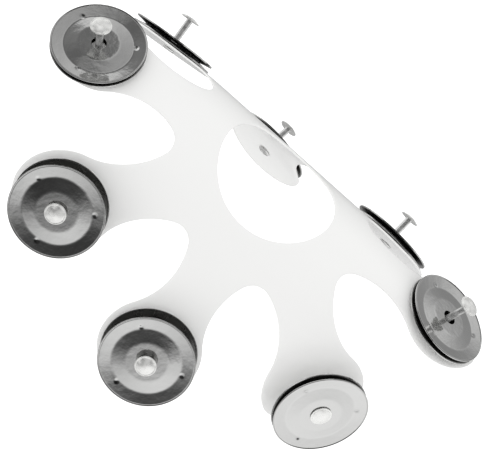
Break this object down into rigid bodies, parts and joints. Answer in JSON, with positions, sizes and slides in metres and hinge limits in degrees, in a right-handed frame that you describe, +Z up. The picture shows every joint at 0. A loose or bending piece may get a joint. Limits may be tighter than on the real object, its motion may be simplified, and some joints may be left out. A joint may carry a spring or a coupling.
{
  "type": "hi-hat tambourine",
  "caption": "Bent star-shaped plastic sheet with a wide centre hole and round-ended arms; each arm holds a pair of loose steel jingles on a headed pin.",
  "frame": {"origin": "middle of the centre hole, on the outer face of the sheet at the top of its fold", "axes": "+Z up out of the centre hole, square to the sheet on the ridge of its fold; +X along the ridge, out through arm 5; arms 2, 3 and 4 fold down on the -Y side"},
  "size_m": [0.2982, 0.2267, 0.1173],
  "materials": {
    "sheet_plastic": "white plastic sheet, smooth and glossy on both faces",
    "pin_steel": "nickel-plated steel, polished",
    "jingle_steel": "nickel-plated steel, pressed and polished to a mirror"
  },
  "bodies": {
    "sheet": {"star_sheet": "sheet_plastic", "pin_1": "pin_steel", "pin_2": "pin_steel", "pin_3": "pin_steel", "pin_4": "pin_steel", "pin_5": "pin_steel", "pin_6": "pin_steel", "pin_7": "pin_steel", "pin_8": "pin_steel"},
    "inner_1": {"jingle_inner_1": "jingle_steel"},
    "outer_1": {"jingle_outer_1": "jingle_steel"},
    "inner_2": {"jingle_inner_2": "jingle_steel"},
    "outer_2": {"jingle_outer_2": "jingle_steel"},
    "inner_3": {"jingle_inner_3": "jingle_steel"},
    "outer_3": {"jingle_outer_3": "jingle_steel"},
    "inner_4": {"jingle_inner_4": "jingle_steel"},
    "outer_4": {"jingle_outer_4": "jingle_steel"},
    "inner_5": {"jingle_inner_5": "jingle_steel"},
    "outer_5": {"jingle_outer_5": "jingle_steel"},
    "inner_6": {"jingle_inner_6": "jingle_steel"},
    "outer_6": {"jingle_outer_6": "jingle_steel"},
    "inner_7": {"jingle_inner_7": "jingle_steel"},
    "outer_7": {"jingle_outer_7": "jingle_steel"},
    "inner_8": {"jingle_inner_8": "jingle_steel"},
    "outer_8": {"jingle_outer_8": "jingle_steel"}
  },
  "joints": [
    {"name": "inner_slide_1", "type": "slide", "parent": "sheet", "child": "inner_1", "axis": [-0.3377, -0.208, 0.918], "range_m": [0, 0.0071]},
    {"name": "outer_slide_1", "type": "slide", "parent": "inner_1", "child": "outer_1", "axis": [-0.3377, -0.208, 0.918], "range_m": [0, 0.0071]},
    {"name": "inner_slide_2", "type": "slide", "parent": "sheet", "child": "inner_2", "axis": [0.0102, -0.9094, 0.4157], "range_m": [-0.00568, 0]},
    {"name": "outer_slide_2", "type": "slide", "parent": "inner_2", "child": "outer_2", "axis": [0.0102, -0.9094, 0.4157], "range_m": [-0.00682, 0.0017]},
    {"name": "inner_slide_3", "type": "slide", "parent": "sheet", "child": "inner_3", "axis": [0.071, -0.8971, 0.4361], "range_m": [-0.00263, 0.00263]},
    {"name": "outer_slide_3", "type": "slide", "parent": "inner_3", "child": "outer_3", "axis": [0.071, -0.8971, 0.4361], "range_m": [-0.00805, 0.00089]},
    {"name": "inner_slide_4", "type": "slide", "parent": "sheet", "child": "inner_4", "axis": [0.4564, -0.8295, 0.3219], "range_m": [-0.01377, 0]},
    {"name": "outer_slide_4", "type": "slide", "parent": "inner_4", "child": "outer_4", "axis": [0.4564, -0.8295, 0.3219], "range_m": [-0.000426, 0]},
    {"name": "inner_slide_5", "type": "slide", "parent": "sheet", "child": "inner_5", "axis": [0.155, 0.1179, 0.9808], "range_m": [0, 0.0071]},
    {"name": "outer_slide_5", "type": "slide", "parent": "inner_5", "child": "outer_5", "axis": [0.155, 0.1179, 0.9808], "range_m": [0, 0.0071]},
    {"name": "inner_slide_6", "type": "slide", "parent": "sheet", "child": "inner_6", "axis": [0.1133, 0.7714, 0.6262], "range_m": [0, 0.0071]},
    {"name": "outer_slide_6", "type": "slide", "parent": "inner_6", "child": "outer_6", "axis": [0.1133, 0.7714, 0.6262], "range_m": [0, 0.0071]},
    {"name": "inner_slide_7", "type": "slide", "parent": "sheet", "child": "inner_7", "axis": [0.175, 0.8455, 0.5045], "range_m": [0, 0.0071]},
    {"name": "outer_slide_7", "type": "slide", "parent": "inner_7", "child": "outer_7", "axis": [0.175, 0.8455, 0.5045], "range_m": [0, 0.0071]},
    {"name": "inner_slide_8", "type": "slide", "parent": "sheet", "child": "inner_8", "axis": [-0.0447, 0.7159, 0.6967], "range_m": [0, 0.0071]},
    {"name": "outer_slide_8", "type": "slide", "parent": "inner_8", "child": "outer_8", "axis": [-0.0447, 0.7159, 0.6967], "range_m": [0, 0.0071]}
  ]
}
